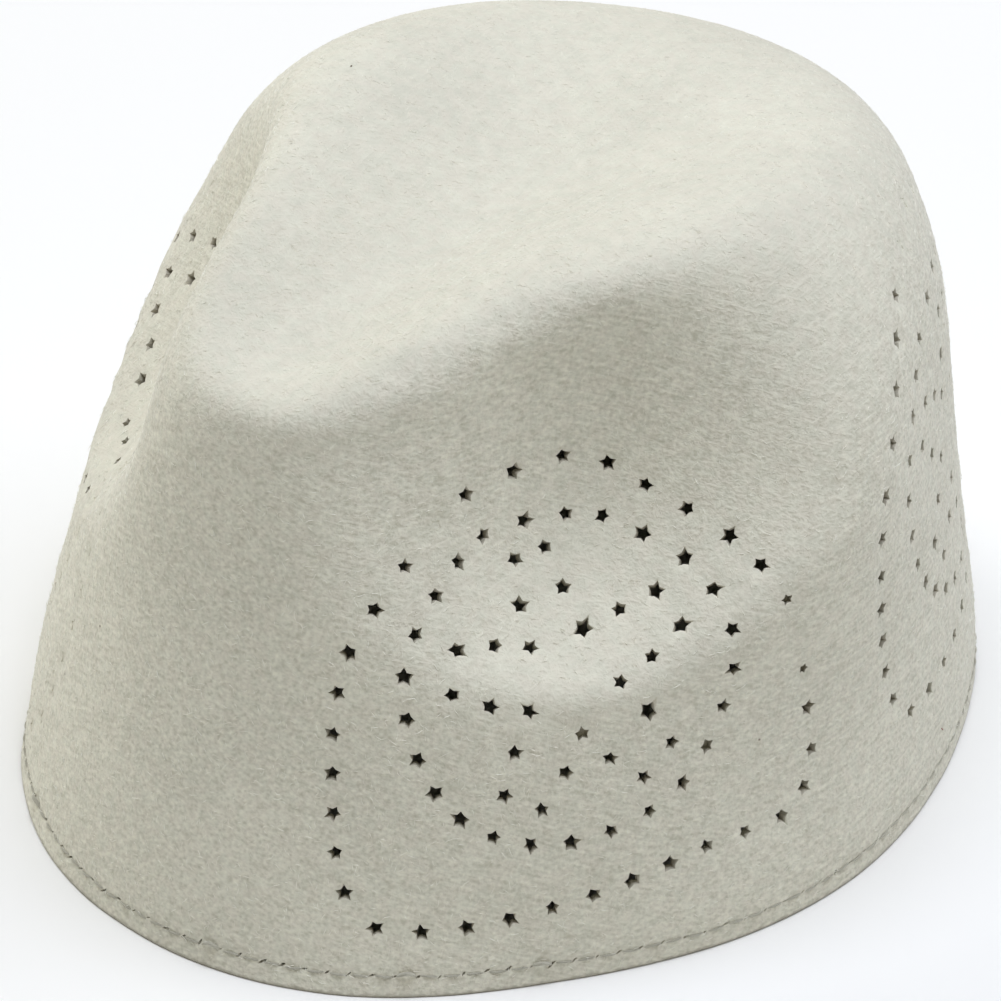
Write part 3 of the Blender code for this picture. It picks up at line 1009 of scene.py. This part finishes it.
class Finishes:
    """The materials of the cap, with the node groups that they share."""

    def __init__(self, colours):
        self.colours = colours
        self.fibres = fibre_group()
        self.mottle = mottle_group()
        self.edge_shade = edge_shade_group()

    def start(self, name, sheen):
        """A new material, its shader's inputs, its node helper and the place it is read at."""
        material = bpy.data.materials.new(name)
        material.use_nodes = True
        inputs = material.node_tree.nodes["Principled BSDF"].inputs
        inputs["Specular IOR Level"].default_value = SPECULAR
        inputs["Sheen Weight"].default_value = sheen
        inputs["Sheen Roughness"].default_value = SHEEN_ROUGHNESS
        maker = GroupMaker(material.node_tree)
        return material, inputs, maker, maker.node("ShaderNodeTexCoord").outputs["Object"]

    def felt(self, name, light, dark, sheen, edge_shaded=False):
        """Mottled wool with fine fibres and their painted highlight and shade, and with painted shade
        along the cut edge where that is asked.
        """
        material, inputs, maker, vector = self.start(name, sheen)
        mottle = maker.group(self.mottle, vector)
        fibres = maker.group(self.fibres, vector)
        # Fibre streaks painted lighter and darker, strongest on steep felt: partly the fibres' own tone,
        # partly painted highlight and shade
        grazing_mask = maker.node("ShaderNodeAttribute", attribute_name=GRAZING_MASK).outputs["Fac"]
        grazing_share = maker.spread(grazing_mask, (0.0, 1.0), (TOP_GRAZING_SHARE, 1.0))
        colour = maker.mix(mottle["Tone"], dark, light)
        colour = maker.mix(maker.times(mottle["Warmth"], WARM_SHARE), colour, WARM_WOOL)
        colour = maker.mix(maker.times(maker.times(fibres["Tone"], grazing_share), FIBRE_HIGHLIGHT_SHARE), colour,
                           [FIBRE_HIGHLIGHT_GAIN * value for value in light])
        colour = maker.mix(maker.times(maker.times(fibres["Shade"], grazing_share), FIBRE_SHADE_SHARE), colour,
                           [gain * value for gain, value in zip(FIBRE_SHADE_GAIN, dark)])
        # Painted shade along the rim's underside and cut edge
        if edge_shaded:
            mask = maker.group(self.edge_shade, vector)["Mask"]
            colour = maker.mix(maker.times(mask, EDGE_SHADE_SHARE), colour, self.colours.cut)
        height = maker.plus(maker.times(mottle["Height"], CLUMP_HEIGHT), fibres["Height"])
        maker.feed(colour, inputs["Base Color"])
        maker.feed(maker.spread(fibres["Tone"], (0.0, 1.0), FELT_ROUGHNESS), inputs["Roughness"])
        maker.feed(maker.bump(height, FELT_BUMP, FELT_BUMP_DEPTH), inputs["Normal"])
        return material

    def crown(self):
        """The crown's own felt."""
        return self.felt("off_white_felt", self.colours.light, self.colours.dark, CROWN_SHEEN, True)

    def wool(self, name):
        """One of the other wools."""
        return self.felt(name, *WOOLS[name])

    def thread(self):
        """Twisted sewing thread."""
        material, inputs, maker, vector = self.start("sewing_thread", THREAD_SHEEN)
        inputs["Roughness"].default_value = THREAD_ROUGHNESS
        along = maker.node("ShaderNodeUVMap", uv_map="thread").outputs["UV"]
        values = {"Vector": along, "Scale": TWIST_FINENESS, "Distortion": TWIST_UNEVENNESS}
        twist = maker.node("ShaderNodeTexWave", values, wave_type="BANDS",
                           bands_direction="DIAGONAL").outputs["Fac"]
        fibres = maker.group(self.fibres, vector)
        # Painted shade between the twisted strands, darkest where the bump is lowest
        shaded = [THREAD_SHADE * value for value in self.colours.thread]
        height = maker.plus(twist, maker.times(fibres["Height"], THREAD_FUZZ))
        maker.feed(maker.mix(twist, shaded, self.colours.thread), inputs["Base Color"])
        maker.feed(maker.bump(height, THREAD_BUMP, THREAD_BUMP_DEPTH), inputs["Normal"])
        return material


def stitch_row(form, sizes, chance, inside):
    """A row of thread stitches round the rim, each one dipping into the felt at its ends."""
    thickness = sizes.thickness / MM
    count = sizes.stitch_count
    pitch = form.rim_length / count
    mesh = stacked_rings(THREAD_SIDES, THREAD_STEPS)
    uv = mesh.loops.layers.uv.new("thread")
    for face in mesh.faces:
        for loop in face.loops:
            spot = loop.vert.co
            loop[uv].uv = (spot.z, math.atan2(spot.y, spot.x) / math.pi)
    number, unit = copies(mesh, count)
    across, outward, steps = unit.T
    if inside:
        across = -across
    steps = steps / (THREAD_STEPS - 1.0)
    arch = chance.uniform(1.0 - ARCH_SPREAD, 1.0, count)
    loose = chance.uniform(0.0, 1.0, count) > 1.0 - LOOSE_PART
    middles = form.turn_at((np.arange(count) + 0.5) * pitch)
    loose[np.argmin(np.abs(middles - form.turn_of(LOOSE_STITCH)))] = True
    lean = chance.uniform(-STITCH_LEAN, STITCH_LEAN, count)
    slack = chance.uniform(-STITCH_SLACK, STITCH_SLACK, count)
    loose = loose[number]
    thread = 0.5 * sizes.thread / MM * np.where(loose, LOOP_SWELL, 1.0)
    alongs = (number + 0.5 + (steps - 0.5) * STITCH_FILL) * pitch
    lift = np.sin(np.pi * steps)
    ups = sizes.stitch_up / MM + lean[number] * (steps - 0.5) + slack[number] * lift
    ups += across * thread + np.where(loose, LOOP_RISE * lift, 0.0)
    height = STITCH_END + STITCH_ARCH * lift ** ARCH_FLATNESS * arch[number]
    height += outward * thread + np.where(loose, LOOP_HEIGHT * lift, 0.0)
    points, normals = form.surface(form.turn_at(alongs), form.mean_climbs(ups))
    if inside:
        height = -thickness - height
    place_vertices(mesh, points + normals * height[:, None])
    return mesh


def loose_fibres(form, count, chance, band, stars):
    """Bent three-sided strands of wool, spread evenly over a band of the felt."""
    mesh = bmesh.new()
    bmesh.ops.create_cone(mesh, cap_ends=True, segments=3, radius1=1.0, radius2=FIBRE_TAPER,
                          depth=1.0)
    lid = max(mesh.faces, key=lambda face: face.calc_center_median().z)
    poked = bmesh.ops.poke(mesh, faces=[lid])
    bmesh.ops.translate(mesh, verts=poked["verts"], vec=UP)
    bmesh.ops.recalc_face_normals(mesh, faces=mesh.faces)
    number, unit = copies(mesh, count)
    turns, climbs = scatter(form, chance, count, band["low"], band["high"], stars)
    points, normals = form.surface(turns, climbs)
    points -= normals * FIBRE_ROOT_DEPTH
    along, side = level_axes(normals)
    angle = chance.uniform(0.0, 2.0 * math.pi, count)
    lie = along * np.cos(angle)[:, None] + side * np.sin(angle)[:, None]
    bent = angle + chance.normal(0.0, FIBRE_BEND, count)
    lie_on = along * np.cos(bent)[:, None] + side * np.sin(bent)[:, None]
    length = FIBRE_SHORTEST + (FIBRE_LONGEST - FIBRE_SHORTEST) * chance.beta(*FIBRE_LENGTHS, count)
    lift = band["lift"] * chance.gamma(*FIBRE_LIFTS, count)
    tip_lift = lift + band["lift"] * chance.normal(*FIBRE_TIP_LIFTS, count)
    middle = points + lie * (0.5 * length)[:, None] + normals * (FIBRE_ROOT_DEPTH + lift)[:, None]
    tip = middle + lie_on * (0.5 * length)[:, None] + normals * (tip_lift - lift)[:, None]
    level = np.clip(np.round(unit[:, 2] + 0.5), 0, 2).astype(int)
    spine = np.stack((points, middle, tip))[level, number]
    thick = band["half_thickness"] * chance.uniform(*FIBRE_THICKNESSES, count)
    widthways = np.cross(normals, lie)
    offset = widthways[number] * unit[:, 0:1] + normals[number] * unit[:, 1:2]
    place_vertices(mesh, spine + offset * thick[number][:, None])
    return mesh


def scatter(form, chance, count, low, high, stars):
    """Turns and climbs spread evenly by area between two climbs, away from the stars."""
    tree = star_tree(stars)
    turns = []
    climbs = []
    while len(turns) < count:
        turn = chance.uniform(0.0, form.columns, TRIES * count)
        climb = chance.uniform(low, high, TRIES * count)
        point = form.even_points(turn, climb)
        across = form.even_points(turn + AREA_STEP, climb) - point
        upward = form.even_points(turn, np.minimum(climb + AREA_STEP, form.top)) - point
        area = np.linalg.norm(np.cross(across, upward), axis=1)
        kept = chance.uniform(0.0, area.max(), len(area)) < area
        for index in np.flatnonzero(kept):
            if tree.find(Vector(point[index]))[2] > STAR_CLEARANCE:
                turns.append(turn[index])
                climbs.append(climb[index])
    return np.array(turns[:count]), np.array(climbs[:count])


def lint_bits(form, reddish):
    """The bits of lint of one colour, as small flattened grains lying in the felt."""
    mesh = bmesh.new()
    for bit in named(LINT_COLUMNS, LINT):
        if bit["reddish"] != reddish:
            continue
        turn = np.array([form.turn_of(bit["angle"])]) % form.columns
        points, normals = form.surface(turn, form.mean_climbs([bit["up"]]))
        upright = Vector(normals[0]).to_track_quat("Z", "Y").to_matrix().to_4x4()
        laid = upright @ Matrix.Rotation(math.radians(bit["lie"]), 4, "Z")
        size = Matrix.Diagonal((0.5 * bit["length"], 0.5 * bit["width"], 0.5 * bit["width"], 1.0))
        place = Matrix.Translation(Vector(points[0]) * MM) @ laid @ Matrix.Scale(MM, 4) @ size
        bmesh.ops.create_icosphere(mesh, subdivisions=2, radius=1.0, matrix=place)
    return mesh


def dress(thing, replaces=None):
    """Attach a piece to the body it rides on, and hide the part that it stands for."""
    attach(thing, BODY)
    if replaces:
        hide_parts(replaces)


# What the operators share: the form, the stars and the materials, made once
SHARED = {}


def shared():
    """The form, the stars and the finishes of the cap."""
    if not SHARED:
        scene = bpy.context.scene
        SHARED["form"] = FeltForm()
        SHARED["stars"] = place_stars(SHARED["form"], scene.felt_cap_stars)
        SHARED["finishes"] = Finishes(scene.felt_cap_finish)
    return SHARED


class FELTCAP_OT_crown(bpy.types.Operator):
    """Build the felt crown with its rounded rim and punched stars"""
    bl_idname = "feltcap.crown"
    bl_label = "Felt crown"

    def execute(self, context):
        made = shared()
        scene = context.scene
        shell = felt_shell(made["form"], made["stars"], scene.felt_cap_sizes, scene.felt_cap_stars)
        whole = made["finishes"].crown()
        # Darker felt on the holes' deep walls is painted shade
        cut = made["finishes"].wool("hole_shade_felt")
        felt = new_object("felt_shell", shell, whole, cut)
        open_stars = [star for star in made["stars"] if star["cut"] > PRINT]
        printed_stars = [star for star in made["stars"] if star["cut"] == PRINT]
        holes = needle_holes(made["form"], scene.felt_cap_sizes)
        for levels, mouth, chosen in ((STAR_LEVELS, 2, open_stars),
                                      (STAR_LEVELS, 0, printed_stars),
                                      (NEEDLE_LEVELS, 1, holes)):
            cutters = star_cutters(chosen, levels, mouth)
            punch(felt, new_object("star_cutters", cutters, whole, cut))
        felt.data.shade_smooth()
        felt.data.set_sharp_from_angle(angle=math.radians(SHARP_ANGLE))
        dress(felt, FELT_NODE)
        return {"FINISHED"}


class FELTCAP_OT_stitches(bpy.types.Operator):
    """Sew the two faces of the stitch row along the rim"""
    bl_idname = "feltcap.stitches"
    bl_label = "Hem stitches"

    def execute(self, context):
        made = shared()
        chance = np.random.RandomState(SEED + 1)
        thread = made["finishes"].thread()
        for name, inside in (("hem_stitches_outside", False), ("hem_stitches_inside", True)):
            mesh = stitch_row(made["form"], context.scene.felt_cap_sizes, chance, inside)
            row = new_object(name, mesh, thread)
            row.data.shade_smooth()
            dress(row)
        return {"FINISHED"}


class FELTCAP_OT_fibres(bpy.types.Operator):
    """Lay loose wool fibres over the wall and the top of the crown, and bits of lint"""
    bl_idname = "feltcap.fibres"
    bl_label = "Loose fibres"

    def execute(self, context):
        made = shared()
        form = made["form"]
        count = context.scene.felt_cap_finish.fibres
        chance = np.random.RandomState(SEED + 2)
        wool = made["finishes"].wool("loose_wool")
        for band in named(FIBRE_BAND_COLUMNS, FIBRE_BANDS):
            mesh = loose_fibres(form, count, chance, band, made["stars"])
            dress(new_object(band["name"], mesh, wool))
        for name, reddish, finish in (("lint_dark", False, "dark_lint"),
                                      ("lint_red", True, "red_lint")):
            bits = new_object(name, lint_bits(form, reddish), made["finishes"].wool(finish))
            bits.data.shade_smooth()
            dress(bits)
        return {"FINISHED"}


# Camera of the photograph: compass angle, height angle and roll in degrees, distance from
# the origin, and where the origin shows in the picture, in pixels from its top left
PICTURE = 1001.0
CAMERA_AZIMUTH = 41.9
CAMERA_ELEVATION = 35.2
CAMERA_ROLL = -0.54
CAMERA_DISTANCE = 1.5
ORIGIN_PIXEL = (502.3, 704.5)
PIXELS_PER_METRE = 5220.0
SENSOR = 36.0
NEAREST = 0.05
FARTHEST = 20.0

# Lights: place in metres, size, power and colour; all of them face the middle of the cap
LIGHT_COLUMNS = ("name", "place", "size", "power", "colour")
LIGHTS = (
    ("overhead", (0.0, 0.0, 1.86), 1.3, 16.9, (0.962, 1.005, 1.13)),
    ("behind_right", (0.56, 0.56, 1.68), 1.3, 11.0, (0.962, 1.005, 1.13)),
    ("low_left", (-1.75, 0.0, 0.50), 1.3, 11.8, (1.02, 0.995, 0.87)),
)
LIT_PLACE = (0.0, 0.0, 0.06)
SKY_STRENGTH = 0.208
SKY_COLOUR = (1.02, 0.985, 0.80)

# Floor: half its side in metres, its colour and how it shines
FLOOR_HALF = 6.0
FLOOR_COLOUR = (0.985, 0.98, 0.965)
FLOOR_ROUGHNESS = 0.9
FLOOR_SPECULAR = 0.1


def add_camera(scene):
    """The camera at the photograph's angle, aimed through the middle of its picture."""
    azimuth = math.radians(CAMERA_AZIMUTH)
    elevation = math.radians(CAMERA_ELEVATION)
    back = Vector((math.sin(azimuth) * math.cos(elevation),
                   -math.cos(azimuth) * math.cos(elevation), math.sin(elevation)))
    focal = PIXELS_PER_METRE * CAMERA_DISTANCE
    data = bpy.data.cameras.new("photo_camera")
    data.sensor_width = SENSOR
    data.lens = focal * SENSOR / PICTURE
    data.clip_start = NEAREST
    data.clip_end = FARTHEST
    camera = bpy.data.objects.new("photo_camera", data)
    scene.collection.objects.link(camera)
    level = (-back).to_track_quat("-Z", "Y").to_matrix()
    rolled = level @ Matrix.Rotation(math.radians(CAMERA_ROLL), 3, "Z")
    across = math.atan2(0.5 * PICTURE - ORIGIN_PIXEL[0], focal)
    down = math.atan2(0.5 * PICTURE - ORIGIN_PIXEL[1], focal)
    aimed = rolled @ Matrix.Rotation(-across, 3, "Y") @ Matrix.Rotation(-down, 3, "X")
    camera.matrix_world = Matrix.Translation(back * CAMERA_DISTANCE) @ aimed.to_4x4()
    scene.camera = camera


def add_area_light(scene, light):
    """A large soft light that faces the cap."""
    data = bpy.data.lights.new(light["name"], "AREA")
    data.shape = "DISK"
    data.size = light["size"]
    data.energy = light["power"]
    data.color = light["colour"]
    lamp = bpy.data.objects.new(light["name"], data)
    lamp.location = light["place"]
    lamp.rotation_mode = "QUATERNION"
    lamp.rotation_quaternion = (Vector(LIT_PLACE) - lamp.location).to_track_quat("-Z", "Y")
    scene.collection.objects.link(lamp)


class FELTCAP_OT_stage(bpy.types.Operator):
    """Set the pale floor, the soft studio light and the camera"""
    bl_idname = "feltcap.stage"
    bl_label = "Stage"

    def execute(self, context):
        scene = context.scene
        mesh = bmesh.new()
        bmesh.ops.create_grid(mesh, x_segments=1, y_segments=1, size=FLOOR_HALF)
        floor_paint = bpy.data.materials.new("pale_floor")
        floor_paint.use_nodes = True
        inputs = floor_paint.node_tree.nodes["Principled BSDF"].inputs
        inputs["Base Color"].default_value = (*FLOOR_COLOUR, 1.0)
        inputs["Roughness"].default_value = FLOOR_ROUGHNESS
        inputs["Specular IOR Level"].default_value = FLOOR_SPECULAR
        floor = new_object("studio_floor", mesh, floor_paint)
        world = bpy.data.worlds.new("studio_light")
        world.use_nodes = True
        background = world.node_tree.nodes["Background"]
        background.inputs["Color"].default_value = (*SKY_COLOUR, 1.0)
        background.inputs["Strength"].default_value = SKY_STRENGTH
        scene.world = world
        for light in named(LIGHT_COLUMNS, LIGHTS):
            add_area_light(scene, light)
        add_camera(scene)
        scene.view_settings.view_transform = "Standard"
        scene.view_settings.look = "None"
        return {"FINISHED"}


class FELTCAP_PT_panel(bpy.types.Panel):
    """Builders of the felt cap, in the sidebar of the 3D view"""
    bl_label = "Felt cap"
    bl_idname = "FELTCAP_PT_panel"
    bl_space_type = "VIEW_3D"
    bl_region_type = "UI"
    bl_category = "Felt cap"

    def draw(self, context):
        layout = self.layout
        scene = context.scene
        for settings in (scene.felt_cap_sizes, scene.felt_cap_stars, scene.felt_cap_finish):
            box = layout.box()
            for name in settings.bl_rna.properties.keys():
                if name not in {"rna_type", "name"}:
                    box.prop(settings, name)
        for operator in STEPS:
            layout.operator(operator.bl_idname)


STEPS = (FELTCAP_OT_crown, FELTCAP_OT_stitches, FELTCAP_OT_fibres, FELTCAP_OT_stage)
SETTINGS = (("felt_cap_sizes", CapSizes), ("felt_cap_stars", StarSizes), ("felt_cap_finish", FeltFinish))


def register():
    for _, settings in SETTINGS:
        bpy.utils.register_class(settings)
    for name, settings in SETTINGS:
        setattr(bpy.types.Scene, name, bpy.props.PointerProperty(type=settings))
    for operator in STEPS:
        bpy.utils.register_class(operator)
    bpy.utils.register_class(FELTCAP_PT_panel)


def unregister():
    bpy.utils.unregister_class(FELTCAP_PT_panel)
    for operator in reversed(STEPS):
        bpy.utils.unregister_class(operator)
    for name, settings in reversed(SETTINGS):
        delattr(bpy.types.Scene, name)
        bpy.utils.unregister_class(settings)


def main():
    """Register the add-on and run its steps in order."""
    register()
    bpy.ops.feltcap.crown()
    bpy.ops.feltcap.stitches()
    bpy.ops.feltcap.fibres()
    bpy.ops.feltcap.stage()


if __name__ == "__main__":
    main()
